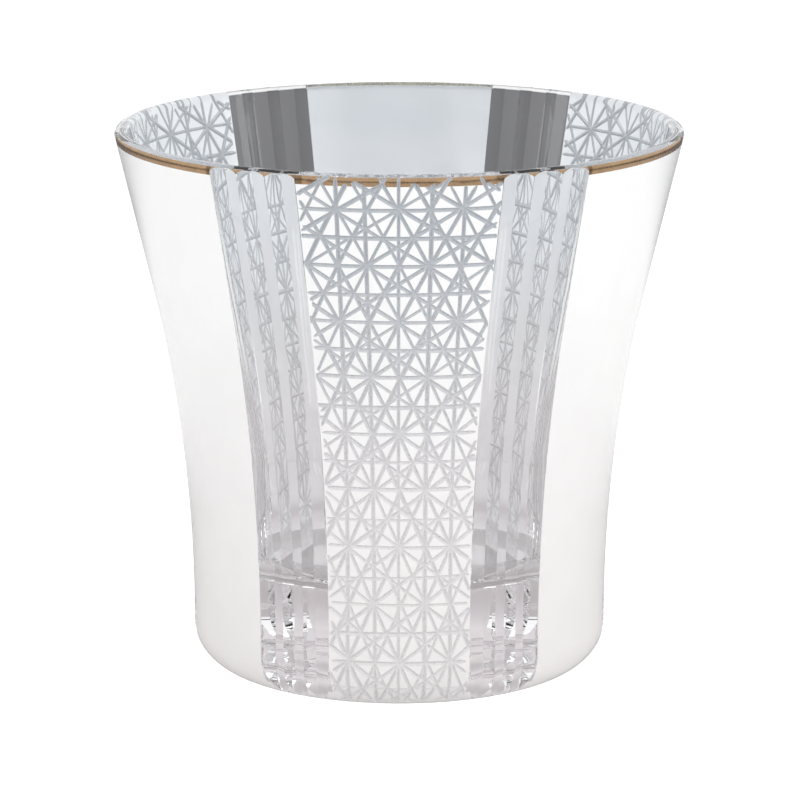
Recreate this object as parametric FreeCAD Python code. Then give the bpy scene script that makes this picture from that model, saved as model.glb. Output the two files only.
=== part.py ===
import FreeCAD, Part
import math
import os

# A flared, cut crystal tumbler used as a mixing glass.
# Millimetres, +Z up.  The origin is the middle of the foot, on the surface it stands on.  The
# front of the glass faces -Y, and the middle of the front carved panel is there.
#
# Round the wall, white overlay panels are carved and plain by turns.  Between each two panels
# lies a group of polished V cuts, the flutes, which run from the heel out through the lip.
# The line cuts of the carved panels are surface work, so their overlay is plain here.

# ---- the blank -----------------------------------------------------------------------------
height = 90.0               # table to the top of the lip
rim_radius = 46.5           # widest part of the lip
lip_thickness = 2.14        # across the lip, square to the wall; it is rounded over
upright_radius = 34.3       # outside of the upright wall above the heel
flare_corner_height = 37.2  # where the upright and the leaning wall would meet, outside
flare_radius = 239.2        # bend between the upright and the leaning wall, outside
bowl_flare_radius = 75.6    # the same bend, inside
least_upright = 0.5         # straight wall that stays below either bend
heel_radius = 7.5           # rounding between the upright wall and the foot
lower_wall = 3.4            # wall beside the floor of the bowl
floor_thickness = 18.8      # solid crystal under the bowl
floor_fillet = 4.9          # rounding between the floor and the wall, inside
recess_radius = 20.0        # polished hollow under the foot
recess_depth = 1.2

# ---- the flutes ----------------------------------------------------------------------------
group_count = 6             # groups of flutes round the glass
flutes_in_group = 3
flute_pitch = 6.4           # from one flute to the next, degrees
flute_depth = 0.68          # bottom of a flute below the wall
facet_slope = 13.0          # lean of each side of a flute from the wall, degrees
flute_end_height = 0.8      # where a flute runs out on the heel
flute_turn_height = 6.5     # height over which a flute turns in under the heel

# ---- white overlay and gilding -------------------------------------------------------------
overlay_thickness = 0.2
overlay_margin = 0.02       # the overlay stops this far outside the edge of a flute
gilt_thickness = 0.1
gilt_below_lip = 0.55       # gilding on the straight wall below the rounding of the lip
gilt_lip_angle = 35.0       # how far the gilding goes up over the lip, degrees above level

# ---- worked out from the sizes above -------------------------------------------------------
axis_point = FreeCAD.Vector(0, 0, 0)
up = FreeCAD.Vector(0, 0, 1)
outward = FreeCAD.Vector(1, 0, 0)
lip_radius = lip_thickness / 2
lip_center = FreeCAD.Vector(rim_radius - lip_radius, 0, height - lip_radius)
heel_center = FreeCAD.Vector(upright_radius - heel_radius, 0, heel_radius)
flare_corner = FreeCAD.Vector(upright_radius, 0, flare_corner_height)
to_lip = lip_center - flare_corner
lean = math.atan2(to_lip.x, to_lip.z) + math.asin(lip_radius / to_lip.Length)
flare_angle = math.degrees(lean)
leaning_up = FreeCAD.Vector(math.sin(lean), 0, math.cos(lean))
into_wall = FreeCAD.Vector(-math.cos(lean), 0, math.sin(lean))
slope = math.tan(math.radians(facet_slope))
group_step = 360.0 / group_count
edge_flute = group_step / 2 - flute_pitch * (flutes_in_group - 1) / 2
flute_half_width = rim_radius * (math.sqrt(slope ** 2 + 2 * flute_depth / rim_radius) - slope)
heel_drop = heel_radius - flute_end_height
heel_end_angle = math.degrees(math.asin(heel_drop / heel_radius))
tool_reach = 0.05 * height  # how far cutting tools run past the glass


def line(start, end):
    return Part.makeLine(start, end)


def on_circle(center, radius, degrees):
    """The point of a circle in the XZ plane at an angle above +X."""
    turn = math.radians(degrees)
    return center + FreeCAD.Vector(math.cos(turn), 0, math.sin(turn)) * radius


def arc(center, radius, first, last):
    """An arc in the XZ plane from one angle above +X to another."""
    stations = [on_circle(center, radius, turn) for turn in (first, (first + last) / 2, last)]
    return Part.Arc(*stations).toShape()


def first_point(edges):
    return edges[0].firstVertex(True).Point


def last_point(edges):
    return edges[-1].lastVertex(True).Point


def band_face(outer, inner):
    """The strip between two runs of edges that go the same way."""
    outer_side = Part.Wire(outer)
    inner_side = Part.Wire(inner)
    caps = [line(first_point(outer), first_point(inner)), line(last_point(outer), last_point(inner))]
    return Part.Face(Part.Wire(Part.__sortEdges__(outer_side.Edges + inner_side.Edges + caps)))


def placed(shape, degrees):
    """A copy of a shape drawn on the +X side, turned to an angle from the front of the glass."""
    copy = shape.copy()
    copy.rotate(axis_point, up, degrees - 90)
    return copy


def flared_wall(tangent_point, foot, bend_radius, inset=0.0, short=0.0):
    """Edges of a wall from its foot up: upright, bend, then a line that leans outwards.

    The line would reach tangent_point, and stops a distance short of it.  All of it is moved
    into the wall by the inset.  The bend is a fillet, and the upright wall limits it.
    """
    corner_height = tangent_point.z - (tangent_point.x - foot.x) / math.tan(lean)
    room = corner_height - foot.z - least_upright
    radius = min(bend_radius, room / math.tan(lean / 2))
    center = FreeCAD.Vector(foot.x + radius, 0, corner_height - radius * math.tan(lean / 2))
    bend = arc(center, radius + inset, 180, 180 - flare_angle)
    top = tangent_point + into_wall * inset - leaning_up * short
    return [line(foot - outward * inset, first_point([bend])), bend, line(last_point([bend]), top)]


outer_tangent = on_circle(lip_center, lip_radius, -flare_angle)
inner_tangent = on_circle(lip_center, lip_radius, 180 - flare_angle)
heel_top = on_circle(heel_center, heel_radius, 0)


def outer_wall(inset=0.0, short=0.0):
    return flared_wall(outer_tangent, heel_top, flare_radius, inset, short)


def make_blank():
    """The glass before cutting: bowl, thick floor, rounded lip and hollow foot."""
    bowl_radius = upright_radius - lower_wall
    fillet_center = FreeCAD.Vector(bowl_radius - floor_fillet, 0, floor_thickness + floor_fillet)
    fillet = arc(fillet_center, floor_fillet, -90, 0)
    bowl_wall = flared_wall(inner_tangent, last_point([fillet]), bowl_flare_radius)
    dome_radius = (recess_radius ** 2 + recess_depth ** 2) / (2 * recess_depth)
    dome_center = up * (recess_depth - dome_radius)
    dome_angle = math.degrees(math.asin(recess_radius / dome_radius))
    dome = arc(dome_center, dome_radius, 90, 90 - dome_angle)
    heel = arc(heel_center, heel_radius, -90, 0)
    lip = arc(lip_center, lip_radius, -flare_angle, 180 - flare_angle)
    outline = [dome, line(last_point([dome]), first_point([heel])), heel] + outer_wall() + [lip]
    outline += bowl_wall + [fillet, line(first_point([fillet]), up * floor_thickness)]
    outline += [line(up * floor_thickness, first_point([dome]))]
    return Part.Face(Part.Wire(Part.__sortEdges__(outline))).revolve(axis_point, up, 360)


def make_flute_cutter():
    """The V tool of one flute, on the +X side.  Its sharp edge is the bottom of the flute."""
    bottom = outward * -flute_depth
    wall = [edge.translated(bottom) for edge in outer_wall()]
    exit_point = on_circle(heel_center, heel_radius, -heel_end_angle)
    turn_in = heel_top.x - flute_depth - exit_point.x
    turn_radius = (turn_in ** 2 + flute_turn_height ** 2) / (2 * turn_in)
    turn_start = exit_point.z + flute_turn_height
    turn_center = FreeCAD.Vector(exit_point.x + turn_in - turn_radius, 0, turn_start)
    exit_angle = math.degrees(math.asin(flute_turn_height / turn_radius))
    turn = arc(turn_center, turn_radius, -exit_angle, 0)
    run_out = on_circle(axis_point, heel_radius, -exit_angle - 90) + exit_point
    upright = line(last_point([turn]), first_point(wall[1:]))
    raised = last_point(wall) + leaning_up * tool_reach
    far = rim_radius + 2 * tool_reach
    back = [raised, FreeCAD.Vector(far, 0, raised.z), FreeCAD.Vector(far, 0, run_out.z), run_out]
    edges = [line(run_out, exit_point), turn, upright] + wall[1:] + [line(last_point(wall), raised)]
    edges += [line(start, end) for start, end in zip(back, back[1:])]
    profile = Part.Face(Part.Wire(edges))
    reach = 1.5 * flute_half_width
    halves = [profile.extrude(FreeCAD.Vector(reach * slope, side * reach, 0)) for side in (-1, 1)]
    return halves[0].fuse(halves[1]).removeSplitter()


def overlay_sector(half_angle):
    """The overlay from the heel to the gilding, over a sector about the +X side."""
    layers = []
    for inset in (0.0, overlay_thickness):
        heel = arc(heel_center, heel_radius - inset, -heel_end_angle, 0)
        layers.append([heel] + outer_wall(inset, gilt_below_lip))
    sector = band_face(*layers).revolve(axis_point, up, 2 * half_angle)
    sector.rotate(axis_point, up, -half_angle)
    return sector


def make_panel():
    """One panel of overlay, between the outermost flutes of two groups, on the +X side."""
    panel = overlay_sector(group_step / 2)
    far = rim_radius + 2 * tool_reach
    for side in (-1, 1):
        beyond = Part.makeBox(far, far, height, FreeCAD.Vector(0, -flute_half_width - overlay_margin, 0))
        beyond.rotate(axis_point, up, edge_flute)
        if side < 0:
            beyond = beyond.mirror(axis_point, FreeCAD.Vector(0, 1, 0))
        panel = panel.cut(beyond)
    return panel


def make_gilding(flutes):
    """The gilt band under the lip, broken by the flutes."""
    layers = []
    for inset in (0.0, gilt_thickness):
        straight = outer_wall(inset, 0.0)[-1]
        start = outer_tangent + into_wall * inset - leaning_up * gilt_below_lip
        lip = arc(lip_center, lip_radius - inset, -flare_angle, gilt_lip_angle)
        layers.append([line(start, last_point([straight])), lip])
    return band_face(*layers).revolve(axis_point, up, 360).cut(flutes)


def main():
    os.makedirs("parts", exist_ok=True)
    cutter = make_flute_cutter()
    flutes = []
    for group in range(group_count):
        for flute in range(flutes_in_group):
            from_edge = (flute - (flutes_in_group - 1) / 2) * flute_pitch
            flutes.append(placed(cutter, (group + 0.5) * group_step + from_edge))
    nodes = {}
    names = ["kiku_panel_front", "plain_panel_right_front", "kiku_panel_right_rear",
             "plain_panel_rear", "kiku_panel_left_rear", "plain_panel_left_front"]
    panel = make_panel()
    for place, name in enumerate(names):
        nodes[name] = placed(panel, place * group_step)
    gilding = make_gilding(flutes)
    nodes["gilt_rim"] = gilding
    blank = make_blank().cut(flutes)
    nodes["crystal_body"] = blank.cut(list(nodes.values()))
    for name, shape in nodes.items():
        solids = shape.Solids
        print(name, len(solids), round(sum(s.Volume for s in solids), 3),
              all(s.isValid() for s in solids))
        out = solids[0] if len(solids) == 1 else Part.makeCompound(solids)
        out.exportStep("parts/" + name + ".step")


if __name__ == "__main__":
    main()
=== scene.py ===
import math
import random

import bmesh
import bpy
import numpy
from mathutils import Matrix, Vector
from mathutils.geometry import delaunay_2d_cdt


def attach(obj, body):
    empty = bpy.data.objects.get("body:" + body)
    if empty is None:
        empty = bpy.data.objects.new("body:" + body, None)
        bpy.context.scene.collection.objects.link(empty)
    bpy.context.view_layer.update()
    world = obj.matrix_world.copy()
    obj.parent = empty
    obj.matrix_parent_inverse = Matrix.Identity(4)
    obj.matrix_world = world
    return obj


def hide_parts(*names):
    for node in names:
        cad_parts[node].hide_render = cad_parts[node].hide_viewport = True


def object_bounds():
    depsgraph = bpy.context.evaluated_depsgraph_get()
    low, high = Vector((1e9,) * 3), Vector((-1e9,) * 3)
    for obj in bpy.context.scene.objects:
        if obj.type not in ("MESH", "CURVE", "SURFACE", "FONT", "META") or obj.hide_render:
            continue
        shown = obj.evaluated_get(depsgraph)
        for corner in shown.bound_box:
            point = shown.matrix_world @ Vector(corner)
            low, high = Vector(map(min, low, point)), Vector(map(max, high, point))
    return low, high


bl_info = {
    "name": "Cut Crystal Mixing Tumbler",
    "version": (1, 0, 0),
    "blender": (4, 5, 0),
    "location": "View3D > Sidebar > Tumbler",
    "description": "A flared crystal tumbler with white overlay, line cuts, flutes and a gilt rim",
    "category": "Object",
}

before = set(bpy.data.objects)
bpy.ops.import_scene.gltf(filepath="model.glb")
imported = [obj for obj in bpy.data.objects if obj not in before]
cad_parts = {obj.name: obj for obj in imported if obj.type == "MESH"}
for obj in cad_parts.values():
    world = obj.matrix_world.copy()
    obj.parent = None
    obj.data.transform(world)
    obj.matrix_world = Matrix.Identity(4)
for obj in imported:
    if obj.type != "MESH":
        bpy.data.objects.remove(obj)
cad_low, cad_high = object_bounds()

# How the glass is divided.  Angles are in radians from the front, anticlockwise from above.
GROUP_COUNT = 6  # panels, and groups of flutes between them
GROUP_STEP = math.radians(60)
CARVED_PANELS = range(0, GROUP_COUNT, 2)
PLAIN_PANELS = range(1, GROUP_COUNT, 2)
PANEL_NODES = ["kiku_panel_front", "plain_panel_right_front", "kiku_panel_right_rear",
               "plain_panel_rear", "kiku_panel_left_rear", "plain_panel_left_front"]
FLUTES = (-1, 0, 1)  # the flutes of a group, from its middle
STRETCHES = [(side, kind) for side in (-1, 1) for kind in ("land", "margin")]


# ---- settings that a user would change ----

def length(name, description, default):
    """A length setting, in metres."""
    return bpy.props.FloatProperty(name=name, description=description, default=default,
                                   unit="LENGTH", precision=5, min=0.0)


def turn(name, description, degrees):
    """An angle setting, stored in radians and shown in degrees."""
    return bpy.props.FloatProperty(name=name, description=description,
                                   default=math.radians(degrees), unit="ROTATION")


def amount(name, description, default):
    """A setting that is a plain number, never below nought."""
    return bpy.props.FloatProperty(name=name, description=description, default=default, min=0.0)


def shift(name, description, default):
    """A shift of the lens, as a share of the width of the frame."""
    return bpy.props.FloatProperty(name=name, description=description, default=default)


def whole(name, description, default):
    """A setting that is a whole number."""
    return bpy.props.IntProperty(name=name, description=description, default=default)


def colour(name, description, default):
    """A colour setting."""
    return bpy.props.FloatVectorProperty(name=name, description=description, default=default,
                                         subtype="COLOR", size=3, min=0.0, max=1.0)


class TumblerSizes(bpy.types.PropertyGroup):
    """Shape of the blown blank and of the polished flutes."""
    height: length("Height", "Table to the top of the lip", cad_high[2] - cad_low[2])
    rim_radius: length("Rim radius", "Widest part of the lip", cad_high[1])
    lip_thickness: length("Lip thickness", "Across the rounded lip", 0.00214)
    upright_radius: length("Upright radius", "Outside of the wall above the heel", 0.0343)
    flare_corner_height: length("Flare corner", "Where the upright and leaning wall meet", 0.0372)
    flare_radius: length("Flare radius", "Bend of the outside", 0.2392)
    bowl_flare_radius: length("Bowl flare radius", "Bend of the inside", 0.0756)
    heel_radius: length("Heel radius", "Rounding above the foot", 0.0075)
    lower_wall: length("Lower wall", "Wall beside the floor of the bowl", 0.0034)
    floor_thickness: length("Floor thickness", "Solid crystal under the bowl", 0.0188)
    floor_fillet: length("Floor fillet", "Rounding between floor and wall", 0.0049)
    recess_radius: length("Recess radius", "Polished hollow under the foot", 0.02)
    recess_depth: length("Recess depth", "Depth of that hollow", 0.0012)
    flute_pitch: turn("Flute pitch", "From one flute to the next", 6.4)
    flute_depth: length("Flute depth", "Bottom of a flute below the wall", 0.00068)
    facet_slope: turn("Facet slope", "Lean of each side of a flute", 13.0)
    flute_end_height: length("Flute end", "Where a flute runs out on the heel", 0.0008)
    flute_turn_height: length("Flute turn", "Height over which a flute turns in", 0.0065)


class OverlaySizes(bpy.types.PropertyGroup):
    """White overlay, gilding and the line cuts of the carved panels."""
    skin: length("Skin", "Overlay and gilding stand this far out of the crystal", 0.00002)
    gilt_bed: length("Gilt bed", "Thickness of the gilding over the overlay", 0.00004)
    bed: length("Bed", "Thickness of the overlay from face to back", 0.00008)
    margin: length("Margin", "Overlay stops this far outside a flute", 0.00002)
    gilt_below_lip: length("Gilt below lip", "Gilding below the rounding of the lip", 0.00055)
    gilt_lip_angle: turn("Gilt lip angle", "How far the gilding goes up over the lip", 35.0)
    first_star: length("First star row", "Below the rounding of the lip", 0.0045)
    row_pitch: length("Row pitch", "From one row of stars to the next", 0.0096)
    star_turn_top: turn("Star spacing, top", "Between stars of the first row", 12.7)
    star_turn_low: turn("Star spacing, foot", "Between stars of the last row", 13.8)
    star_rows: whole("Star rows", "Rows on the wall", 9)
    cut_width: length("Cut width", "Across one line cut", 0.00066)
    cut_depth: length("Cut depth", "Bottom of a line cut", 0.00032)
    cut_wander: length("Cut wander", "How far the hand strays", 0.0004)
    cut_taper: length("Cut taper", "Length of the pointed end of a cut", 0.0009)
    hand: whole("Hand", "Seed of the hand's wandering", 7)


class TumblerFinishes(bpy.types.PropertyGroup):
    """Colours of the crystal, the overlay and the gilding, some with light and shade painted into
    them.
    """
    crystal: colour("Crystal", "Tint of the crystal", (0.985, 0.99, 0.992))
    # The line cuts are opaque: their grey is partly the frosted crystal's own tone and partly
    # painted shade for what would show through them; near the foot they are painted lighter for
    # light coming through the thick base.
    ground: colour("Ground cuts", "Matt crystal in the line cuts", (0.44, 0.465, 0.495))
    ground_lit_low: colour("Ground cuts, low", "Matt crystal near the foot", (0.68, 0.66, 0.67))
    overlay: colour("Overlay", "Opaque white overlay", (0.90, 0.90, 0.90))
    # Painted shade: the overlay is darker and warmer towards the foot, where less light falls on
    # it.
    overlay_shaded_low: colour("Overlay, low", "Warmer cast low on the overlay", (0.80, 0.775, 0.77))
    # Painted light and shade on the back of the overlay, seen through the crystal: grey for the
    # shade inside the glass, painted lighter near the floor for light coming through the opal, and
    # darker again beside the solid base.
    overlay_back: colour("Overlay, back", "The overlay through the crystal", (0.60, 0.63, 0.66))
    lit_overlay_back_low: colour("Overlay back, low", "The same near the floor", (0.93, 0.90, 0.905))
    shaded_overlay_back_base: colour("Overlay back, base", "The same beside the base",
                              (0.73, 0.69, 0.70))
    # Painted light: the back of the carved overlay is painted lighter than the plain back, for the
    # light that reaches it through the cuts.
    carved_back: colour("Carved back", "Carved overlay through the crystal", (0.88, 0.90, 0.92))
    gilding: colour("Gilding", "Burnished gold", (0.52, 0.35, 0.21))
    gilding_back: colour("Gilding, back", "The gold through the crystal", (0.74, 0.69, 0.55))
    crystal_index: amount("Refractive index", "Of the crystal", 1.52)
    overlay_index: amount("Overlay index", "Refractive index of the white glass", 1.5)
    crystal_lamplight: colour("Crystal lamplight", "Share that a face lets in",
                              (0.93, 0.94, 0.945))
    ground_lamplight: colour("Ground lamplight", "Share that a line cut lets in", (0.8, 0.8, 0.8))
    overlay_lamplight: colour("Overlay lamplight", "Share that a face of the overlay lets in",
                              (0.93, 0.93, 0.93))


class StudioSettings(bpy.types.PropertyGroup):
    """Camera, floor, the card of painted shade and lamps."""
    camera_distance: length("Camera distance", "From the middle of the glass", 0.7905)
    camera_height_angle: turn("Camera elevation", "Above level", 12.75)
    lens: amount("Lens", "Focal length in millimetres", 217.0)
    sideways: shift("Shift across", "Of the lens", -0.0035)
    upwards: shift("Shift up", "Of the lens", -0.0029)
    ambient: amount("Ambient", "World strength for the light on the object", 0.36)
    key: amount("Key", "Watts of the left softbox", 6.1)
    fill: amount("Fill", "Watts of the right softbox", 6.3)
    top: amount("Top", "Watts of the overhead softbox", 3.7)
    rear: amount("Rear", "Watts of the softbox behind the glass", 3.2)
    floor: colour("Floor", "Pale floor", (0.9, 0.9, 0.9))
    floor_shaded: colour("Floor, seen", "What a shadow can darken of it", (0.3, 0.3, 0.305))
    floor_glow: amount("Floor glow", "What a shadow can't darken of it", 0.85)
    # The card glows with these colours instead of being lit: a painted contact shadow under the
    # foot, painted dim shade round it, a white ring and dark grey further out.
    card_shade: colour("Card shade", "Card under the foot", (0.39, 0.36, 0.37))
    card_near_shade: colour("Card near", "Card round the foot", (0.50, 0.465, 0.475))
    card_white: colour("Card white", "Ring of the card round the glass", (0.95, 0.95, 0.95))
    card_start: length("Card start", "From the middle of the glass to the grey", 0.24)
    card: colour("Card", "Grey that only reflections and the crystal show", (0.10, 0.10, 0.105))
    card_edge: colour("Card edge", "The same card towards its sides", (0.23, 0.23, 0.25))


# ---- the wall as a curve ----

# How finely the meshes follow the glass.  Lengths are in metres.
WELD = 4e-6  # points nearer than this become one
FLUTE_TIP_RUN = 0.0035  # along the wall, from the end of the flutes upwards
LIP_RUN = 0.003  # along the wall, below the rounding of the lip
FLUTE_TIP_STEP = 0.00018
HEEL_STEP = 0.0005
WALL_STEP = 0.0016
LIP_RUN_STEP = 0.0003
LIP_STEP = 0.00008
MARK_CLEARANCE = 0.00003  # a row this near to a mark gives way to it
STANDING_ROW = 0.002  # a row of the ring that it stands on, this far outside the hollow
PANEL_COLUMNS = 18
ROUND_FACES = 14
BOWL_WALL_FACES = 12
UPRIGHT_FACES = 2
FLOOR_FACES = 6
HEEL_FACES = 6
HOLLOW_FACES = 8
CRYSTAL_CREASE = math.radians(9)
PLATE_CREASE = math.radians(25)
OUTSIDE_END_TILT = math.radians(62)  # of the lip, where the outside hands over to the inside


class Bend:
    """An arc whose outward normal turns from one angle above level to another."""

    def __init__(self, centre, radius, first, last):
        self.centre = centre
        self.radius = radius
        self.first = first
        self.last = last
        self.length = abs(radius * (last - first))

    def at(self, share):
        tilt = self.first + (self.last - self.first) * share
        return (self.centre[0] + self.radius * math.cos(tilt),
                self.centre[1] + self.radius * math.sin(tilt), tilt)


class Straight:
    """A straight stretch between two points, with one outward normal."""

    def __init__(self, start, end, tilt):
        self.start = start
        self.end = end
        self.tilt = tilt
        self.length = math.dist(start, end)

    def at(self, share):
        return (self.start[0] + (self.end[0] - self.start[0]) * share,
                self.start[1] + (self.end[1] - self.start[1]) * share, self.tilt)


class Wall:
    """The outside and inside of the glass, worked out from the sizes as part of one lathe."""

    def __init__(self, sizes, overlay):
        self.sizes = sizes
        self.overlay = overlay
        self.lip_radius = sizes.lip_thickness / 2
        self.lip = (sizes.rim_radius - self.lip_radius, sizes.height - self.lip_radius)
        rise = self.lip[1] - sizes.flare_corner_height
        reach = self.lip[0] - sizes.upright_radius
        self.lean = math.atan2(reach, rise) + math.asin(self.lip_radius / math.hypot(rise, reach))
        self.heel = (sizes.upright_radius - sizes.heel_radius, sizes.heel_radius)
        self.heel_end = math.asin((sizes.heel_radius - sizes.flute_end_height) / sizes.heel_radius)
        self.outer_tangent = self.on_lip(-self.lean)
        self.inner_tangent = self.on_lip(math.pi - self.lean)
        self.bend_foot = (sizes.flare_corner_height
                          - sizes.flare_radius * math.tan(self.lean / 2))
        bend = Bend((sizes.upright_radius + sizes.flare_radius, self.bend_foot),
                    -sizes.flare_radius, 0, -self.lean)
        upright_foot = (sizes.upright_radius, sizes.heel_radius)
        bend_top = bend.at(1)[:2]
        self.bend_top_height = bend_top[1]
        self.spans = [
            Bend(self.heel, sizes.heel_radius, -self.heel_end, 0),
            Straight(upright_foot, (sizes.upright_radius, self.bend_foot), 0),
            bend,
            Straight(bend_top, self.outer_tangent, -self.lean),
            Bend(self.lip, self.lip_radius, -self.lean, OUTSIDE_END_TILT),
        ]
        self.lip_start = sum(span.length for span in self.spans[:-1])
        self.end = self.lip_start + self.spans[-1].length
        self.set_flute_turn()
        # where the gilding starts, the overlay under it ends, and the gilding ends
        self.marks = [self.lip_start - overlay.gilt_below_lip, self.along_lip(0.0),
                      self.along_lip(overlay.gilt_lip_angle)]

    def on_lip(self, tilt):
        """Radius and height of the point of the lip whose normal has this tilt."""
        return (self.lip[0] + self.lip_radius * math.cos(tilt),
                self.lip[1] + self.lip_radius * math.sin(tilt))

    def along_lip(self, tilt):
        """Distance along the wall at which the lip's normal has this tilt."""
        return self.lip_start + (tilt + self.lean) * self.lip_radius

    def set_flute_turn(self):
        """Works out the arc on which the bottom of a flute turns in and runs out on the heel."""
        exit_radius = self.heel[0] + self.sizes.heel_radius * math.cos(self.heel_end)
        turn_in = self.sizes.upright_radius - self.sizes.flute_depth - exit_radius
        rise = self.sizes.flute_turn_height
        self.turn_radius = (turn_in ** 2 + rise ** 2) / (2 * turn_in)
        self.turn_centre = (exit_radius + turn_in - self.turn_radius,
                            self.sizes.flute_end_height + rise)

    def within(self, along):
        """A distance along the wall, kept between its two ends."""
        return min(max(along, 0.0), self.end)

    def at(self, along):
        """Radius, height and tilt of the outward normal at a distance along the wall."""
        for span in self.spans[:-1]:
            if along <= span.length:
                return span.at(along / span.length)
            along -= span.length
        return self.spans[-1].at(along / self.spans[-1].length)

    def bare_radius(self, height):
        """Radius of the wall at a height, as if it leaned on past the lip."""
        if height <= self.bend_foot:
            return self.sizes.upright_radius
        if height <= self.bend_top_height:
            flare = self.sizes.flare_radius
            drop = math.sqrt(flare ** 2 - (height - self.bend_foot) ** 2)
            return self.sizes.upright_radius + flare - drop
        return self.outer_tangent[0] + (height - self.outer_tangent[1]) * math.tan(self.lean)

    def valley(self, height):
        """Radius of the bottom of a flute at a height."""
        if height < self.turn_centre[1]:
            drop = self.turn_centre[1] - height
            return self.turn_centre[0] + math.sqrt(max(self.turn_radius ** 2 - drop ** 2, 0.0))
        return self.bare_radius(height) - self.sizes.flute_depth

    def flute_edge(self, radius, height):
        """Half the angle that a flute takes at a height where the glass has this radius."""
        valley = self.valley(height)
        if valley >= radius:
            return 0.0
        lean = math.tan(self.sizes.facet_slope)
        span = 1 + lean ** 2
        root = math.sqrt((valley * lean) ** 2 + span * (radius ** 2 - valley ** 2))
        across = (root - valley * lean) / span
        return math.atan2(across, valley + lean * across)

    def facet_radius(self, height, off_valley):
        """Radius of a flute's side at an angle from its bottom."""
        lean = math.tan(self.sizes.facet_slope)
        return self.valley(height) / (math.cos(off_valley) - lean * math.sin(abs(off_valley)))

    def panel_edge(self, radius):
        """Angle from the middle of a panel to its edge, a plane beside the nearest flute."""
        slope = math.tan(self.sizes.facet_slope)
        rim = self.sizes.rim_radius
        half = rim * (math.sqrt(slope ** 2 + 2 * self.sizes.flute_depth / rim) - slope)
        off_flute = math.asin((half + self.overlay.margin) / radius)
        return GROUP_STEP / 2 - self.sizes.flute_pitch - off_flute

    def stations(self):
        """Distances along the wall for the rows of the mesh, close where it curves tightly."""
        heel = self.spans[0].length
        lip_run = self.lip_start - LIP_RUN
        steps = [(0, FLUTE_TIP_RUN, FLUTE_TIP_STEP), (FLUTE_TIP_RUN, heel, HEEL_STEP),
                 (heel, lip_run, WALL_STEP), (lip_run, self.lip_start, LIP_RUN_STEP),
                 (self.lip_start, self.end, LIP_STEP)]
        found = set()
        for start, stop, step in steps:
            count = max(1, round((stop - start) / step))
            found.update(start + (stop - start) * i / count for i in range(count + 1))
        kept = [value for value in found
                if min(abs(value - mark) for mark in self.marks) > MARK_CLEARANCE]
        return sorted(kept + self.marks)

    def inside(self):
        """Radius and height from the lip over the inside wall to the middle of the floor."""
        sizes = self.sizes
        bowl = sizes.upright_radius - sizes.lower_wall
        corner = self.inner_tangent[1] - (self.inner_tangent[0] - bowl) / math.tan(self.lean)
        foot = (bowl, corner - sizes.bowl_flare_radius * math.tan(self.lean / 2))
        lip = Bend(self.lip, self.lip_radius, OUTSIDE_END_TILT, math.pi - self.lean)
        bend = Bend((bowl + sizes.bowl_flare_radius, foot[1]), -sizes.bowl_flare_radius,
                    -self.lean, 0)
        fillet = Bend((bowl - sizes.floor_fillet, sizes.floor_thickness + sizes.floor_fillet),
                      sizes.floor_fillet, 0, -math.pi / 2)
        spans = [(lip, ROUND_FACES),
                 (Straight(self.inner_tangent, bend.at(0)[:2], 0), BOWL_WALL_FACES),
                 (bend, ROUND_FACES),
                 (Straight(foot, fillet.at(0)[:2], 0), UPRIGHT_FACES),
                 (fillet, ROUND_FACES),
                 (Straight(fillet.at(1)[:2], (0.0, sizes.floor_thickness), 0), FLOOR_FACES)]
        return [span.at(i / count)[:2] for span, count in spans for i in range(1, count + 1)]

    def underneath(self):
        """Radius and height from the end of the flutes under the foot to the hollow's middle."""
        recess, depth = self.sizes.recess_radius, self.sizes.recess_depth
        heel = Bend(self.heel, self.sizes.heel_radius, -self.heel_end, -math.pi / 2)
        dome = (recess ** 2 + depth ** 2) / (2 * depth)
        reach = math.asin(recess / dome)
        points = [heel.at(i / HEEL_FACES)[:2] for i in range(1, HEEL_FACES + 1)]
        points += [(recess + STANDING_ROW, 0.0), (recess, 0.0)]
        for step in range(1, HOLLOW_FACES + 1):
            angle = reach * (1 - step / HOLLOW_FACES)
            points.append((dome * math.sin(angle), depth - dome * (1 - math.cos(angle))))
        return points


# ---- meshes over the outside of the glass ----

class Patch:
    """Points and faces, with a material slot for each face.

    For a plate, a point is (angle from the front, distance along the wall).  For the crystal,
    it is a place in space.
    """

    def __init__(self):
        self.points = []
        self.faces = []
        self.slots = []

    def grid(self, rows):
        """Adds a strip: each row holds the same number of points."""
        base = len(self.points)
        across = len(rows[0])
        for row in rows:
            self.points += row
        for row in range(len(rows) - 1):
            for col in range(across - 1):
                corner = base + row * across + col
                self.faces.append((corner, corner + 1, corner + across + 1, corner + across))
                self.slots.append(0)

    def add(self, points, faces, slots=None):
        """Adds faces over points of their own."""
        base = len(self.points)
        self.points += points
        self.faces += [tuple(base + i for i in face) for face in faces]
        self.slots += slots or [0] * len(faces)


def place(angle, radius, height):
    """A point at an angle from the front of the glass, anticlockwise from above."""
    return Vector((radius * math.sin(angle), -radius * math.cos(angle), height))


def on_wall(wall, angle, along, inset):
    """A point at a distance along the wall, this far inside its face."""
    radius, height, tilt = wall.at(along)
    return place(angle, radius - inset * math.cos(tilt), height - inset * math.sin(tilt))


def add_object(name, data):
    """An object in the scene for a mesh, a lamp or a camera."""
    obj = bpy.data.objects.new(name, data)
    bpy.context.scene.collection.objects.link(obj)
    return obj


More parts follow.
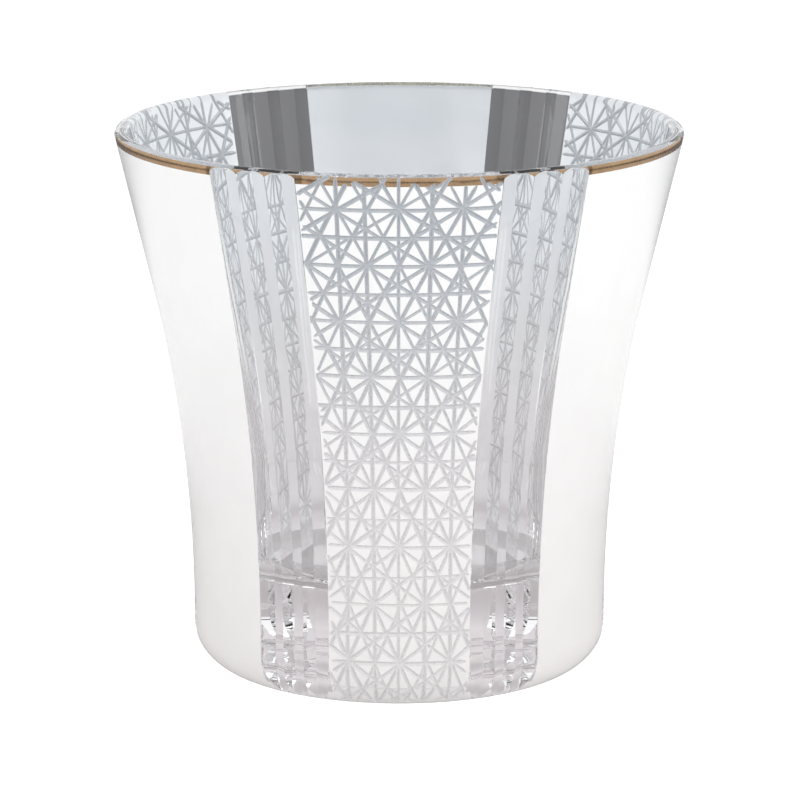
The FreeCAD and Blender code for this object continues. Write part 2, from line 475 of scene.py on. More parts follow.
def new_object(name, points, faces, slots, crease):
    """A mesh object from points and faces, welded, with edges sharp above an angle.

    A line cut that stops at the edge of its panel leaves a slit there, which is closed.
    """
    mesh = bpy.data.meshes.new(name)
    mesh.from_pydata([tuple(p) for p in points], [], faces)
    mesh.polygons.foreach_set("material_index", slots)
    work = bmesh.new()
    work.from_mesh(mesh)
    bmesh.ops.remove_doubles(work, verts=work.verts, dist=WELD)
    bmesh.ops.dissolve_degenerate(work, edges=work.edges, dist=WELD / 4)
    open_edges = [edge for edge in work.edges if edge.is_boundary]
    for face in bmesh.ops.holes_fill(work, edges=open_edges)["faces"]:
        face.material_index = 1
    bmesh.ops.recalc_face_normals(work, faces=work.faces)
    work.to_mesh(mesh)
    work.free()
    mesh.shade_smooth()
    mesh.set_sharp_from_angle(angle=crease)
    return add_object(name, mesh)


def make_plate(name, wall, patch, bed, gilt_from=math.inf, gilt_bed=0.0):
    """A closed thin plate over a patch: its face on the wall, its back bedded in the crystal.

    Above gilt_from the face lies under the gilding.
    """
    count = len(patch.points)
    points = [on_wall(wall, angle, along, gilt_bed if along > gilt_from else 0.0)
              for angle, along in patch.points]
    points += [on_wall(wall, angle, along, bed) for angle, along in patch.points]
    faces = patch.faces + [tuple(count + i for i in reversed(face)) for face in patch.faces]
    sides = {edge for face in patch.faces for edge in zip(face, face[1:] + face[:1])}
    for start, end in sorted(sides):
        if (end, start) not in sides:
            faces.append((end, start, count + start, count + end))
    slots = patch.slots + [1] * (len(faces) - len(patch.slots))
    return new_object(name, points, faces, slots, PLATE_CREASE)


def panel_shares():
    """Columns across a panel, from edge to edge."""
    return [-1 + 2 * i / PANEL_COLUMNS for i in range(PANEL_COLUMNS + 1)]


# ---- the line cuts of the carved panels ----

# The pattern, counted in stars across and rows down.
LINE_STEP = 0.02
PATTERN_TOP = -0.62
PATTERN_REACH = 2  # stars on each side of the middle
UPRIGHTS_BESIDE = 2  # upright lines on each side of the middle one
# stars across for each row down, and stars between neighbouring lines
LINE_FAMILIES = ((0, 0.5), (0.5, 0.5), (-0.5, 0.5), (1.5, 1), (-1.5, 1))

# How the hand's cuts differ: what it chooses from, and the limits it keeps between.
STOPS_SHORT = (0.00002, 0.00002, 0.00002, 0.0002, 0.0004)  # of the edge of the panel
LOW_ENDS = (0.0004, 0.0016)  # along the wall
HIGH_ENDS = (-0.6, 0.8)  # below the lip's rounding, as shares of the gilding's depth there
OVER_LIP_CHANCE = 0.3
PAST_GILDING = (2, 14)  # degrees of the lip, for a cut that goes over it
SHORTEST_CUT = 0.0018
CUT_SPREAD = (0.78, 1.22)  # of the width and depth of a cut
TAPER_SHARES = (0.2, 0.2, 0.5, 1.0)

# Which points the triangulation gets, and how it takes them.
CUT_STRIDE = 12  # steps of a line between the points that a cut keeps
CUT_END_CLEAR = 9  # steps at the end of a cut that the stride leaves alone
CUT_END_POINTS = [0, 1, 3, 6]  # steps from either end at which a cut keeps a point
SCATTER_STRIDE = 3  # rows of the panel between the rows of loose points
SHALLOWEST_CUT = 0.000004  # what is cut less deep than this stays white
NO_WIDTH = 1e-9  # stands for nought at the point of a cut
MILLIMETRES = 1000.0
TOUCHING = 1e-5  # in millimetres


class Cut:
    """One line cut: points across the unrolled panel, with its half width at each."""

    def __init__(self, points, half_width, depth, taper):
        self.points = numpy.array(points)
        steps = numpy.linalg.norm(numpy.diff(self.points, axis=0), axis=1)
        run = numpy.concatenate([[0.0], numpy.cumsum(steps)])
        to_end = numpy.minimum(run, run[-1] - run)
        share = numpy.clip(to_end / taper, 0.0, 1.0) ** 0.5
        self.half = half_width * share
        self.depth = depth * share

    def sides(self):
        """The two edges of the cut, which meet at its ends."""
        along = numpy.gradient(self.points, axis=0)
        along /= numpy.linalg.norm(along, axis=1)[:, None]
        across = numpy.stack([-along[:, 1], along[:, 0]], axis=1) * self.half[:, None]
        return self.points + across, self.points - across

    def depth_at(self, places):
        """Depth of the cut at places across the unrolled panel, nought away from it."""
        deepest = numpy.zeros(len(places))
        for i in range(len(self.points) - 1):
            start, end = self.points[i], self.points[i + 1]
            run = end - start
            share = numpy.clip((places - start) @ run / (run @ run), 0.0, 1.0)
            off = numpy.linalg.norm(places - start - share[:, None] * run, axis=1)
            half = self.half[i] + (self.half[i + 1] - self.half[i]) * share
            depth = self.depth[i] + (self.depth[i + 1] - self.depth[i]) * share
            here = depth * (1 - off / numpy.maximum(half, NO_WIDTH))
            deepest = numpy.maximum(deepest, here)
        return deepest


class Carving:
    """A carved panel: the chrysanthemum-chain pattern cut into the outside of the glass."""

    def __init__(self, wall, hand):
        self.wall = wall
        self.overlay = wall.overlay
        self.hand = random.Random(hand)
        self.first_star = wall.lip_start - self.overlay.first_star
        self.rows = wall.stations()
        self.cuts = [cut for line in self.lines() for cut in self.cut_along(line)]
        self.triangulate()

    def spot(self, star, row):
        """Place on the unrolled panel of a point of the pattern, counted in stars and rows."""
        along = self.first_star - row * self.overlay.row_pitch
        share = row / (self.overlay.star_rows - 1)
        spacing = self.overlay.star_turn_top
        spacing += (self.overlay.star_turn_low - self.overlay.star_turn_top) * share
        return star * spacing * self.wall.at(self.wall.within(along))[0], along

    def lines(self):
        """The straight lines of the pattern, each as points counted in stars and rows."""
        low = self.first_star / self.overlay.row_pitch
        level = [-PATTERN_REACH + LINE_STEP * i
                 for i in range(int(2 * PATTERN_REACH / LINE_STEP) + 1)]
        for half_row in range(-1, 2 * self.overlay.star_rows + 1):
            yield [(star, half_row / 2) for star in level]
        rows = [PATTERN_TOP + LINE_STEP * i
                for i in range(int((low - PATTERN_TOP) / LINE_STEP) + 1)]
        for slope, spacing in LINE_FAMILIES:
            reach = UPRIGHTS_BESIDE
            if slope:
                reach = int((PATTERN_REACH + abs(slope) * (low + 1)) / spacing)
            for number in range(-reach, reach + 1):
                yield [(slope * row + number * spacing, row) for row in rows]

    def cut_along(self, line):
        """The part of a line inside the panel, as a cut with a wandering hand."""
        overlay = self.overlay
        wander = [self.hand.gauss(0, overlay.cut_wander / 2) for _ in range(4)]
        short = self.hand.choice(STOPS_SHORT)
        low = self.hand.uniform(*LOW_ENDS)
        high = self.wall.lip_start - overlay.gilt_below_lip * self.hand.uniform(*HIGH_ENDS)
        if self.hand.random() < OVER_LIP_CHANCE:
            past = math.radians(self.hand.uniform(*PAST_GILDING))
            high = self.wall.along_lip(overlay.gilt_lip_angle + past)
        run = []
        for i, (star, row) in enumerate(line):
            share = i / len(line)
            across, along = self.spot(star, row)
            across += wander[0] + (wander[1] - wander[0]) * share
            along += wander[2] + (wander[3] - wander[2]) * share
            if low < along < high and abs(across) < self.half_panel(along) - short:
                run.append((across, along))
        if len(run) < 2 or math.dist(run[0], run[-1]) < SHORTEST_CUT:
            return []
        keep = {i for step in CUT_END_POINTS for i in (step, len(run) - 1 - step)}
        keep.update(range(CUT_STRIDE, len(run) - CUT_END_CLEAR, CUT_STRIDE))
        points = [run[i] for i in sorted(keep) if 0 <= i < len(run)]
        scale = self.hand.uniform(*CUT_SPREAD)
        taper = overlay.cut_taper * self.hand.choice(TAPER_SHARES)
        return [Cut(points, overlay.cut_width / 2 * scale, overlay.cut_depth * scale, taper)]

    def half_panel(self, along):
        """Half the width of the unrolled panel."""
        radius = self.wall.at(along)[0]
        return self.wall.panel_edge(radius) * radius

    def across_panel(self, along):
        """Points across the unrolled panel, from edge to edge."""
        return [(share * self.half_panel(along), along) for share in panel_shares()]

    def border(self):
        """Points round the unrolled panel."""
        upwards = [(self.half_panel(along), along) for along in self.rows[1:-1]]
        downwards = [(-across, along) for across, along in reversed(upwards)]
        top = self.across_panel(self.rows[-1])
        return self.across_panel(self.rows[0]) + upwards + top[::-1] + downwards

    def triangulate(self):
        """Triangles over the panel that follow the bottom and the edges of every cut."""
        places = []
        edges = []

        def chain(points):
            first = len(places)
            places.extend(tuple(point) for point in points)
            edges.extend((i, i + 1) for i in range(first, len(places) - 1))

        chain(self.border())
        edges.append((len(places) - 1, 0))
        for mark in self.wall.marks:
            chain(self.across_panel(mark))
        for along in self.rows[1:-1:SCATTER_STRIDE]:
            places.extend(self.across_panel(along)[1:-1])
        for cut in self.cuts:
            for points in (cut.points, *cut.sides()):
                chain(points)
        scaled = [Vector((x * MILLIMETRES, y * MILLIMETRES)) for x, y in places]
        found = delaunay_2d_cdt(scaled, edges, [], 1, TOUCHING, False)
        spots = numpy.array([tuple(v) for v in found[0]]) / MILLIMETRES
        middles = numpy.array([spots[list(face)].mean(axis=0) for face in found[2]])
        reach = numpy.interp(middles[:, 1], self.rows, [self.half_panel(row) for row in self.rows])
        inside = numpy.abs(middles[:, 0]) < reach
        self.faces = [tuple(face) for face, kept in zip(found[2], inside) if kept]
        self.is_cut = self.depth_at(middles[inside]) > SHALLOWEST_CUT
        self.middle_along = middles[inside][:, 1]
        self.depth = self.depth_at(spots)
        self.points = []
        for across, along in spots:
            along = self.wall.within(along)
            self.points.append((across / self.wall.at(along)[0], along))

    def depth_at(self, spots):
        """Depth of the deepest cut at each place of the unrolled panel."""
        deepest = numpy.zeros(len(spots))
        for cut in self.cuts:
            low = cut.points.min(axis=0) - self.overlay.cut_width
            high = cut.points.max(axis=0) + self.overlay.cut_width
            near = numpy.all((spots > low) & (spots < high), axis=1)
            deepest[near] = numpy.maximum(deepest[near], cut.depth_at(spots[near]))
        return deepest

    def islands(self, start, end, middle):
        """The uncut faces between two distances along the wall, turned to a panel's middle."""
        kept = [face for face, cut, along in zip(self.faces, self.is_cut, self.middle_along)
                if not cut and start < along < end]
        used = sorted({i for face in kept for i in face})
        number = {old: new for new, old in enumerate(used)}
        points = [(self.points[i][0] + middle, self.points[i][1]) for i in used]
        return points, [tuple(number[i] for i in face) for face in kept]


CARVINGS = {}


def carving_of(wall, panel):
    """The carving of one panel, worked out once for each set of sizes."""
    key = (panel, *settings_of(wall.sizes), *settings_of(wall.overlay))
    if key not in CARVINGS:
        CARVINGS[key] = Carving(wall, wall.overlay.hand + panel)
    return CARVINGS[key]


def settings_of(group):
    """The values of a group of settings."""
    return [getattr(group, name) for name in group.__annotations__]


# ---- the crystal ----

class FluteRow:
    """One level of the worked outside: where the flutes and panels lie at one height."""

    def __init__(self, wall, along, inset):
        radius, height, tilt = wall.at(along)
        self.along = along
        self.wall = wall
        self.radius = radius - inset * math.cos(tilt)
        self.height = height - inset * math.sin(tilt)
        self.pitch = wall.sizes.flute_pitch
        self.half = wall.flute_edge(self.radius, self.height)
        self.inner_half = min(self.half, self.pitch / 2)
        self.panel_half = wall.panel_edge(radius)

    def flute(self, number):
        """The three points across a flute: edge, bottom, edge."""
        left = self.half if number == FLUTES[0] else self.inner_half
        right = self.half if number == FLUTES[-1] else self.inner_half
        points = []
        for off in (-left, 0.0, right):
            reached = self.radius
            if abs(off) < self.half:
                reached = self.wall.facet_radius(self.height, off)
            points.append((number * self.pitch + off, reached))
        return points

    def stretch(self, side, kind):
        """An uncut stretch on one side of a group's middle, as a pair of angles.

        A land lies between two flutes, a margin between the last flute and the panel.
        """
        near, far = self.inner_half, self.pitch - self.inner_half
        if kind == "margin":
            near, far = self.pitch + self.half, GROUP_STEP / 2 - self.panel_half
        return (near, far) if side > 0 else (-far, -near)

    def stretch_radius(self, kind):
        """Radius of an uncut stretch, or of the ridge where two flutes meet."""
        if kind == "land" and self.half > self.pitch / 2:
            return self.wall.facet_radius(self.height, self.pitch / 2)
        return self.radius


def flute_rows(wall, inset=0.0):
    """The levels of the worked outside, from the end of the flutes up over the lip."""
    return [FluteRow(wall, along, inset) for along in wall.stations()]


def make_crystal(wall):
    """The glass: cut and carved outside, lip, bowl, foot and hollow, as one closed mesh."""
    shell = Patch()
    skin = wall.overlay.skin
    rows = flute_rows(wall, skin)
    for group in range(GROUP_COUNT):
        middle = (group + 0.5) * GROUP_STEP
        for number in FLUTES:
            shell.grid([[place(middle + angle, radius, row.height)
                         for angle, radius in row.flute(number)] for row in rows])
        for side, kind in STRETCHES:
            shell.grid([[place(middle + angle, row.stretch_radius(kind), row.height)
                         for angle in row.stretch(side, kind)] for row in rows])
    for panel in range(GROUP_COUNT):
        middle = panel * GROUP_STEP
        if panel in CARVED_PANELS:
            carving = carving_of(wall, panel)
            points = [on_wall(wall, middle + angle, along, max(depth, skin))
                      for (angle, along), depth in zip(carving.points, carving.depth)]
            shell.add(points, carving.faces, [int(cut) for cut in carving.is_cut])
        else:
            shell.grid([[place(middle + share * row.panel_half, row.radius, row.height)
                         for share in panel_shares()] for row in rows])
    for outline, row in ((wall.inside(), rows[-1]), (wall.underneath(), rows[0])):
        angles = ring_angles(row)
        spots = [(row.radius, row.height)] + outline
        shell.grid([[place(angle, *spot) for angle in angles] for spot in spots])
    return new_object("crystal", shell.points, shell.faces, shell.slots, CRYSTAL_CREASE)


def ring_angles(row):
    """Angles of all the columns round the glass at a level where no flute is left."""
    angles = []
    for panel in range(GROUP_COUNT):
        middle = panel * GROUP_STEP
        angles += [middle + share * row.panel_half for share in panel_shares()]
        angles += [middle + GROUP_STEP / 2 + number * row.pitch for number in FLUTES]
    return angles + [GROUP_STEP * GROUP_COUNT - row.panel_half]


# ---- overlay and gilding ----

HEEL_POINT_TIP = math.radians(0.15)  # half the angle at which a heel point ends


def add_panel(patch, wall, panel, start, end):
    """Adds what is left of a panel between two distances along the wall."""
    middle = panel * GROUP_STEP
    if panel in CARVED_PANELS:
        patch.add(*carving_of(wall, panel).islands(start, end, middle))
    else:
        patch.grid([[(middle + share * row.panel_half, row.along) for share in panel_shares()]
                    for row in flute_rows(wall) if start <= row.along <= end])


def add_stretches(patch, rows, group):
    """Adds the uncut stretches beside the flutes of a group, where they have any width."""
    middle = (group + 0.5) * GROUP_STEP
    for side, kind in STRETCHES:
        patch.grid([[(middle + angle, row.along) for angle in row.stretch(side, kind)]
                    for row in rows if kind == "margin" or row.half < row.pitch / 2])


def make_overlay(wall, panel):
    """The white overlay of one panel: all of it, or the islands left between the line cuts."""
    patch = Patch()
    gilt_from, top, _ = wall.marks
    add_panel(patch, wall, panel, -math.inf, top)
    return make_plate("overlay_" + PANEL_NODES[panel], wall, patch, wall.overlay.bed, gilt_from,
                      wall.overlay.gilt_bed)


def make_heel_points(wall):
    """White left standing on the heel between the pointed ends of the flutes."""
    patch = Patch()
    rows = []
    for row in flute_rows(wall):
        if row.half > row.pitch / 2 - HEEL_POINT_TIP:
            break
        rows.append(row)
    for group in range(GROUP_COUNT):
        add_stretches(patch, rows, group)
    return make_plate("heel_points", wall, patch, wall.overlay.bed)


def make_gilding(wall):
    """The gilt band under and over the lip, broken by the flutes and by the line cuts."""
    patch = Patch()
    start, _, end = wall.marks
    rows = [row for row in flute_rows(wall) if start <= row.along <= end]
    for group in range(GROUP_COUNT):
        add_stretches(patch, rows, group)
        add_panel(patch, wall, group, start, end)
    return make_plate("gilding", wall, patch, wall.overlay.gilt_bed)


# ---- finishes ----

# Heights above the table between which one colour gives way to another, for light and shade painted
# by height.
GROUND_LIGHT_BAND = (0.035, 0.08)
OVERLAY_LIGHT_BAND = (0.0, 0.07)
OVERLAY_BACK_LIGHT_BAND = (0.035, 0.085)
BASE_SHADE_BAND = (0.011, 0.016)

# Roughness, least and most, and the depth in metres of what is felt as waves and marks.
POLISHED = (0.0, 0.02)
GROUND = (0.24, 0.4)
GLOSSY = (0.1, 0.2)
BURNISHED = (0.2, 0.34)
POLISHING_WAVES = 0.00004
OVERLAY_WAVES = 0.00005
BURNISHING_MARKS = 0.000012

NOISE_SPREAD = (0.3, 0.7)  # noise seldom leaves these
GRIT_TONES = (-0.2, 0.2)  # how far the two tones of the ground cuts mingle
CLOUDS = (-0.08, 0.08)  # and those of the overlay
DULL_GOLD = 0.82  # of the gold's tone, where it lies thin


class Socket:
    """An output of a shader node, so that shader maths is written as an expression."""

    def __init__(self, nodes, output):
        self.nodes = nodes
        self.output = output

    def maths(self, operation, first, second):
        return self.nodes.add("ShaderNodeMath", {"operation": operation}, {0: first, 1: second})

    def __add__(self, other):
        return self.maths("ADD", self, other)

    def __sub__(self, other):
        return self.maths("SUBTRACT", self, other)

    def __rsub__(self, other):
        return self.maths("SUBTRACT", other, self)

    def __mul__(self, other):
        return self.maths("MULTIPLY", self, other)

    def __abs__(self):
        return self.nodes.add("ShaderNodeMath", {"operation": "ABSOLUTE"}, {0: self})

    __radd__ = __add__
    __rmul__ = __mul__


class Nodes:
    """The nodes of one material or of the world."""

    def __init__(self, tree):
        self.tree = tree
        tree.nodes.clear()

    def add(self, kind, settings=None, sockets=None, output=0):
        """A node of a kind: its settings first, then the values or links of its sockets."""
        node = self.tree.nodes.new(kind)
        for name, value in (settings or {}).items():
            setattr(node, name, value)
        for name, value in (sockets or {}).items():
            if isinstance(value, Socket):
                self.tree.links.new(value.output, node.inputs[name])
            else:
                node.inputs[name].default_value = value
        return Socket(self, node.outputs[output]) if node.outputs else None

    def noise(self, scale, detail=2.0):
        """Noise with this many cells to the metre, fixed to the object."""
        place_on_object = self.add("ShaderNodeTexCoord", output="Object")
        return self.add("ShaderNodeTexNoise", None,
                        {"Vector": place_on_object, "Scale": scale, "Detail": detail})

    def ranged(self, value, limits, reach=(0.0, 1.0)):
        """A value between two limits, brought to lie between two others."""
        return self.add("ShaderNodeMapRange", {"clamp": True},
                        {"Value": value, "From Min": limits[0], "From Max": limits[1],
                         "To Min": reach[0], "To Max": reach[1]})

    def low_down(self, band):
        """One below a band of heights above the table, nought above it."""
        place_on_object = self.add("ShaderNodeTexCoord", output="Object")
        height = self.add("ShaderNodeSeparateXYZ", None, {0: place_on_object}, output="Z")
        return self.ranged(height, band, (1.0, 0.0))

    def blend(self, share, first, second):
        """A colour between two colours."""
        return self.add("ShaderNodeMix", {"data_type": "RGBA"},
                        {0: share, 6: rgba(first), 7: rgba(second)}, output=2)

    def bump(self, height, distance):
        return self.add("ShaderNodeBump", None,
                        {"Height": height, "Distance": distance, "Strength": 1.0})

    def seen_directly(self):
        """One for rays from the camera, from a reflection or through the crystal.

        Light that has bounced off a matt surface doesn't count, so the white background adds no
        light to the object.
        """
        rays = [self.add("ShaderNodeLightPath", output=name)
                for name in ("Is Camera Ray", "Is Glossy Ray", "Is Transmission Ray")]
        bounces = self.add("ShaderNodeLightPath", output="Diffuse Depth")
        seen = rays[0] + rays[1] + rays[2] - len(rays) * bounces
        return self.add("ShaderNodeClamp", None, {0: seen})

    def show(self, surface, kind="ShaderNodeOutputMaterial"):
        """Makes this the surface of the material or of the world."""
        self.add(kind, None, {"Surface": surface})


def rgba(values):
    """A colour setting as a socket takes it.  A colour from another node stays as it is."""
    return values if isinstance(values, Socket) else (values[0], values[1], values[2], 1.0)


def new_finish(name):
    """An empty material and its nodes."""
    material = bpy.data.materials.new(name)
    material.use_nodes = True
    return material, Nodes(material.node_tree)


def let_lamplight_in(nodes, surface, share):
    """Lets a share of the lamplight through each face to what lies behind it."""
    through = nodes.add("ShaderNodeBsdfTransparent", None, {"Color": rgba(share)})
    is_shadow = nodes.add("ShaderNodeLightPath", output="Is Shadow Ray")
    nodes.show(nodes.add("ShaderNodeMixShader", None, {0: is_shadow, 1: surface, 2: through}))


def polished_crystal(colours):
    """Clear crystal, with the faint waves that hand polishing leaves."""
    material, nodes = new_finish("polished_crystal")
    glass = nodes.add("ShaderNodeBsdfPrincipled", None, {
        "Base Color": rgba(colours.crystal), "IOR": colours.crystal_index,
        "Transmission Weight": 1.0,
        "Roughness": nodes.ranged(nodes.noise(700.0, 4.0), (0.35, 0.75), POLISHED),
        "Normal": nodes.bump(nodes.noise(90.0), POLISHING_WAVES)})
    let_lamplight_in(nodes, glass, colours.crystal_lamplight)
    return material


def ground_crystal(colours):
    """The matt sides of the line cuts, a little uneven from the wheel, their grey partly their own
    and partly painted shade, painted lighter near the foot.
    """
    material, nodes = new_finish("ground_crystal")
    grit = nodes.noise(2400.0, 3.0)
    # painted light: the cuts turn lighter below this band of heights, with random grit tones mixed
    # in
    low_down = nodes.low_down(GROUND_LIGHT_BAND) + nodes.ranged(grit, NOISE_SPREAD, GRIT_TONES)
    glass = nodes.add("ShaderNodeBsdfPrincipled", None, {
        "Base Color": nodes.blend(low_down, colours.ground, colours.ground_lit_low),
        "IOR": colours.crystal_index,
        "Roughness": nodes.ranged(grit, NOISE_SPREAD, GROUND)})
    let_lamplight_in(nodes, glass, colours.ground_lamplight)
    return material


def white_overlay(colours):
    """Opal white glass, with painted shade that makes it darker and a little warmer low down, and a
    glossy, softly uneven face.
    """
    return white_glass("white_overlay", colours, colours.overlay, colours.overlay_shaded_low,
                       OVERLAY_LIGHT_BAND)


def overlay_back(colours):
    """The same white where it is fused to the crystal, painted grey and cool for the shade inside
    the glass, lighter low down and darker beside the base.
    """
    return white_glass("overlay_back", colours, colours.overlay_back, colours.lit_overlay_back_low,
                       OVERLAY_BACK_LIGHT_BAND, colours.shaded_overlay_back_base)


def carved_back(colours):
    """The back of the carved overlay, painted lighter for the light that reaches it through the
    cuts, with the same painted light and shade low down as the plain back.
    """
    return white_glass("carved_back", colours, colours.carved_back, colours.lit_overlay_back_low,
                       OVERLAY_LIGHT_BAND, colours.shaded_overlay_back_base)


def white_glass(name, colours, upper, lower, band, base_shade=None):
    """White glass with light and shade painted by height: one colour above a band of heights,
    another below, and a painted shade at the base.
    """
    material, nodes = new_finish(name)
    clouds = nodes.ranged(nodes.noise(160.0, 3.0), NOISE_SPREAD, CLOUDS)
    # painted light and shade below the band, with random clouds mixed in
    white = nodes.blend(nodes.low_down(band) + clouds, upper, lower)
    # painted shade beside the solid base
    if base_shade:
        white = nodes.blend(nodes.low_down(BASE_SHADE_BAND), white, base_shade)
    glass = nodes.add("ShaderNodeBsdfPrincipled", None, {
        "Base Color": white, "IOR": colours.overlay_index,
        "Roughness": nodes.ranged(nodes.noise(900.0, 4.0), NOISE_SPREAD, GLOSSY),
        "Normal": nodes.bump(nodes.noise(120.0), OVERLAY_WAVES)})
    let_lamplight_in(nodes, glass, colours.overlay_lamplight)
    return material


def burnished_gold(colours):
    """Fired gold, thinner and paler in places, with fine burnishing marks."""
    return fired_gold("burnished_gold", colours.gilding)


def gold_back(colours):
    """The pale back of the gold, where it is fired onto the crystal."""
    return fired_gold("gold_back", colours.gilding_back)


def fired_gold(name, tone):
    """Gold of one tone, a little duller where it lies thin."""
    material, nodes = new_finish(name)
    thin = nodes.ranged(nodes.noise(420.0, 5.0), (0.35, 0.7))
    duller = [DULL_GOLD * value for value in tone]
    nodes.show(nodes.add("ShaderNodeBsdfPrincipled", None, {
        "Base Color": nodes.blend(thin, duller, tone), "Metallic": 1.0,
        "Roughness": nodes.ranged(nodes.noise(2600.0, 3.0), NOISE_SPREAD, BURNISHED),
        "Normal": nodes.bump(nodes.noise(1800.0, 3.0), BURNISHING_MARKS)}))
    return material


FINISHES = {}


def finish(maker):
    """One material for each finish, shared by the pieces that have it."""
    if maker not in FINISHES:
        FINISHES[maker] = maker(bpy.context.scene.tumbler_finishes)
    return FINISHES[maker]


def dress(obj, makers, nodes=()):
    """Gives a piece its finishes, its body and the parts it stands for."""
    for maker in makers:
        obj.data.materials.append(finish(maker))
    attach(obj, "root")
    if nodes:
        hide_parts(*nodes)


# ---- studio ----

WHITE = (1.0, 1.0, 1.0, 1.0)
BLACK = (0.0, 0.0, 0.0, 1.0)

# Distances from the middle of the card between which one tone gives way to another.
FOOT_SHADOW_RING = (0.030, 0.040)
WHITE_RING = (0.11, 0.16)
GREY_RING_WIDTH = 0.08
CARD_SIDES = (0.02, 0.22)

SOFTBOXES = [("key", (-0.75, -0.62, 0.6), (1.0, 1.1)), ("fill", (0.8, -0.6, 0.5), (1.0, 1.0)),
             ("top", (0.0, 0.1, 1.0), (0.8, 0.6)), ("rear", (0.2, 1.0, 0.7), (1.0, 0.8))]


def add_floor(studio):
    """A pale floor, which the camera and the crystal see white apart from its shadows."""
    material, nodes = new_finish("pale_floor")
    lit = nodes.add("ShaderNodeBsdfDiffuse", None, {"Color": rgba(studio.floor)})
    shaded = nodes.add("ShaderNodeBsdfDiffuse", None, {"Color": rgba(studio.floor_shaded)})
    glow = nodes.add("ShaderNodeEmission", None, {"Color": WHITE, "Strength": studio.floor_glow})
    shown = nodes.add("ShaderNodeAddShader", None, {0: shaded, 1: glow})
    nodes.show(nodes.add("ShaderNodeMixShader", None, {0: nodes.seen_directly(), 1: lit, 2: shown}))
    add_sheet("floor", material, reach=4.0, corners=4, height=-0.0004)


def add_card(studio):
    """A glowing card that only the crystal and the gilding show, with painted rings: a painted
    contact shadow under the foot, painted dim shade round it, then white, then dark grey.
    """
    material, nodes = new_finish("grey_card")
    place_on_card = nodes.add("ShaderNodeTexCoord", output="Object")
    away = nodes.add("ShaderNodeVectorMath", {"operation": "LENGTH"}, {0: place_on_card},
                     output="Value")
    sideways = nodes.add("ShaderNodeSeparateXYZ", None, {0: place_on_card}, output="X")
    grey_ring = (studio.card_start, studio.card_start + GREY_RING_WIDTH)
    far = nodes.blend(nodes.ranged(abs(sideways), CARD_SIDES), studio.card, studio.card_edge)
    # painted shade: a painted contact shadow under the foot, fading to painted dim shade round it
    near = nodes.blend(nodes.ranged(away, FOOT_SHADOW_RING), studio.card_shade, studio.card_near_shade)
    shown = nodes.blend(nodes.ranged(away, WHITE_RING), near, studio.card_white)
    shown = nodes.blend(nodes.ranged(away, grey_ring), shown, far)
    nodes.show(nodes.add("ShaderNodeBsdfPrincipled", None, {
        "Base Color": BLACK, "Specular IOR Level": 0.0,
        "Emission Color": shown, "Emission Strength": 1.0}))
    card = add_sheet("grey_card", material, reach=3.5, corners=64, height=-0.0002)
    card.visible_camera = False
    card.visible_diffuse = False
    card.visible_shadow = False


def add_sheet(name, material, reach, corners, height):
    """A flat sheet below the glass, which is not part of it."""
    mesh = bpy.data.meshes.new(name)
    angles = [math.tau * (i + 0.5) / corners for i in range(corners)]
    mesh.from_pydata([(reach * math.cos(a), reach * math.sin(a), height) for a in angles], [],
                     [tuple(range(corners))])
    mesh.materials.append(material)
    obj = add_object(name, mesh)
    return obj


def add_softbox(name, place_at, size, watts, aim):
    """A soft lamp, which the crystal and the gilding don't mirror."""
    lamp = bpy.data.lights.new(name, "AREA")
    lamp.shape = "RECTANGLE"
    lamp.size, lamp.size_y = size
    lamp.energy = watts
    obj = add_object(name, lamp)
    obj.location = place_at
    obj.rotation_euler = (Vector(aim) - Vector(place_at)).to_track_quat("-Z", "Y").to_euler()
    obj.visible_glossy = False


def add_world(studio):
    """Soft white light on the glass, and plain white for what is seen past and through it."""
    world = bpy.data.worlds.new("studio")
    bpy.context.scene.world = world
    world.use_nodes = True
    nodes = Nodes(world.node_tree)
    soft, white = [nodes.add("ShaderNodeBackground", None, {"Color": WHITE, "Strength": strength})
                   for strength in (studio.ambient, 1.0)]
    mixed = nodes.add("ShaderNodeMixShader", None, {0: nodes.seen_directly(), 1: soft, 2: white})
    nodes.show(mixed, "ShaderNodeOutputWorld")


def add_camera(studio, middle):
    """The camera, which looks down a little at the middle of the glass."""
    lens = bpy.data.cameras.new("camera")
    lens.lens = studio.lens
    lens.shift_x = studio.sideways
    lens.shift_y = studio.upwards
    camera = add_object("camera", lens)
    rise = studio.camera_height_angle
    back = Vector((0.0, -math.cos(rise), math.sin(rise))) * studio.camera_distance
    camera.location = middle + back
    camera.rotation_euler = (-back).to_track_quat("-Z", "Y").to_euler()
    bpy.context.scene.camera = camera
    bpy.context.scene.view_settings.view_transform = "Standard"


# ---- operators, one for each group of pieces ----

def wall_of(scene):
    """The wall as the scene's settings give it."""
    return Wall(scene.tumbler_sizes, scene.overlay_sizes)


class TUMBLER_OT_studio(bpy.types.Operator):
    """Sets up the camera, the pale floor, the glowing card of painted shade and the softboxes"""
    bl_idname = "tumbler.studio"
    bl_label = "Studio"

    def execute(self, context):
        studio = context.scene.studio_settings
        middle = Vector((0.0, 0.0, context.scene.tumbler_sizes.height / 2))
        add_camera(studio, middle)
        add_world(studio)
        add_floor(studio)
        add_card(studio)
        for name, place_at, size in SOFTBOXES:
            add_softbox(name + "_softbox", place_at, size, getattr(studio, name), middle)
        return {"FINISHED"}


class TUMBLER_OT_crystal(bpy.types.Operator):
    """Makes the blown crystal with its flutes, line cuts, bowl and hollow foot"""
    bl_idname = "tumbler.crystal"
    bl_label = "Crystal"

    def execute(self, context):
        crystal = make_crystal(wall_of(context.scene))
        dress(crystal, [polished_crystal, ground_crystal], ["crystal_body"])
        return {"FINISHED"}


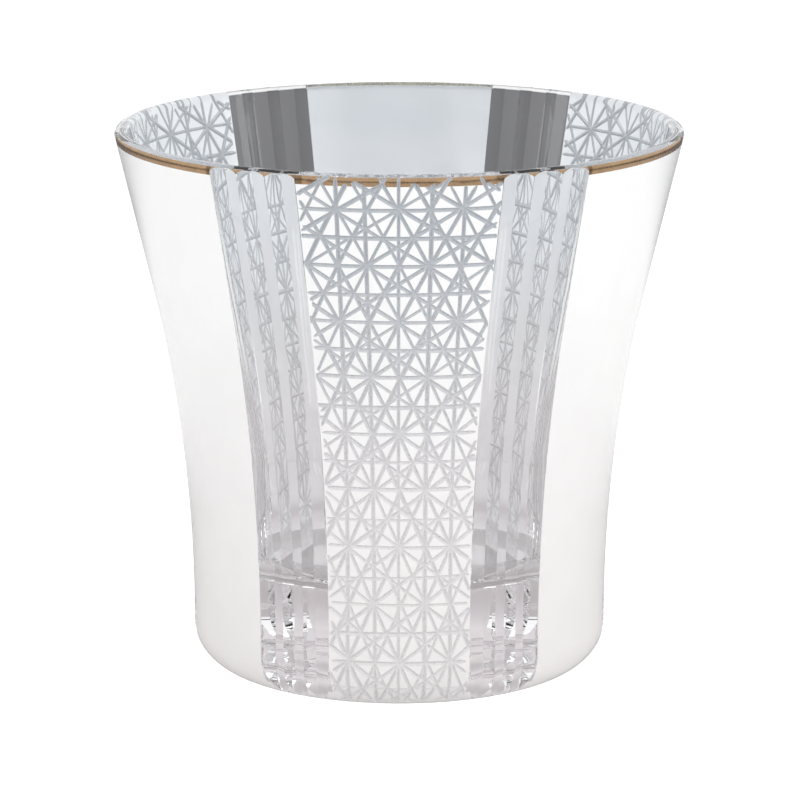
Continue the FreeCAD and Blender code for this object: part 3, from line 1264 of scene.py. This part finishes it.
class TUMBLER_OT_kiku_overlay(bpy.types.Operator):
    """Makes the white overlay left between the line cuts of the three carved panels"""
    bl_idname = "tumbler.kiku_overlay"
    bl_label = "Carved overlay"

    def execute(self, context):
        for panel in CARVED_PANELS:
            plate = make_overlay(wall_of(context.scene), panel)
            dress(plate, [white_overlay, carved_back], [PANEL_NODES[panel]])
        return {"FINISHED"}


class TUMBLER_OT_plain_overlay(bpy.types.Operator):
    """Makes the three plain panels of white overlay"""
    bl_idname = "tumbler.plain_overlay"
    bl_label = "Plain overlay"

    def execute(self, context):
        for panel in PLAIN_PANELS:
            plate = make_overlay(wall_of(context.scene), panel)
            dress(plate, [white_overlay, overlay_back], [PANEL_NODES[panel]])
        return {"FINISHED"}


class TUMBLER_OT_heel_points(bpy.types.Operator):
    """Makes the small white points left between the ends of the flutes"""
    bl_idname = "tumbler.heel_points"
    bl_label = "Heel points"

    def execute(self, context):
        points = make_heel_points(wall_of(context.scene))
        dress(points, [white_overlay, overlay_back])
        return {"FINISHED"}


class TUMBLER_OT_gilding(bpy.types.Operator):
    """Makes the gilt band at the lip"""
    bl_idname = "tumbler.gilding"
    bl_label = "Gilding"

    def execute(self, context):
        gilding = make_gilding(wall_of(context.scene))
        dress(gilding, [burnished_gold, gold_back], ["gilt_rim"])
        return {"FINISHED"}


OPERATORS = [TUMBLER_OT_studio, TUMBLER_OT_crystal, TUMBLER_OT_kiku_overlay,
             TUMBLER_OT_plain_overlay, TUMBLER_OT_heel_points, TUMBLER_OT_gilding]
GROUPS = {"tumbler_sizes": TumblerSizes, "overlay_sizes": OverlaySizes,
          "tumbler_finishes": TumblerFinishes, "studio_settings": StudioSettings}


class TUMBLER_PT_sidebar(bpy.types.Panel):
    """Sizes, finishes and the operators that make the tumbler"""
    bl_idname = "TUMBLER_PT_sidebar"
    bl_label = "Cut Crystal Tumbler"
    bl_space_type = "VIEW_3D"
    bl_region_type = "UI"
    bl_category = "Tumbler"

    def draw(self, context):
        for group, kind in GROUPS.items():
            box = self.layout.box()
            for name in kind.__annotations__:
                box.prop(getattr(context.scene, group), name)
        for operator in OPERATORS:
            self.layout.operator(operator.bl_idname)


def register():
    for group, kind in GROUPS.items():
        bpy.utils.register_class(kind)
        setattr(bpy.types.Scene, group, bpy.props.PointerProperty(type=kind))
    for kind in OPERATORS + [TUMBLER_PT_sidebar]:
        bpy.utils.register_class(kind)


def unregister():
    for kind in reversed(OPERATORS + [TUMBLER_PT_sidebar]):
        bpy.utils.unregister_class(kind)
    for group, kind in GROUPS.items():
        delattr(bpy.types.Scene, group)
        bpy.utils.unregister_class(kind)


def main():
    register()
    bpy.ops.tumbler.studio()
    bpy.ops.tumbler.crystal()
    bpy.ops.tumbler.kiku_overlay()
    bpy.ops.tumbler.plain_overlay()
    bpy.ops.tumbler.heel_points()
    bpy.ops.tumbler.gilding()


if __name__ == "__main__":
    main()
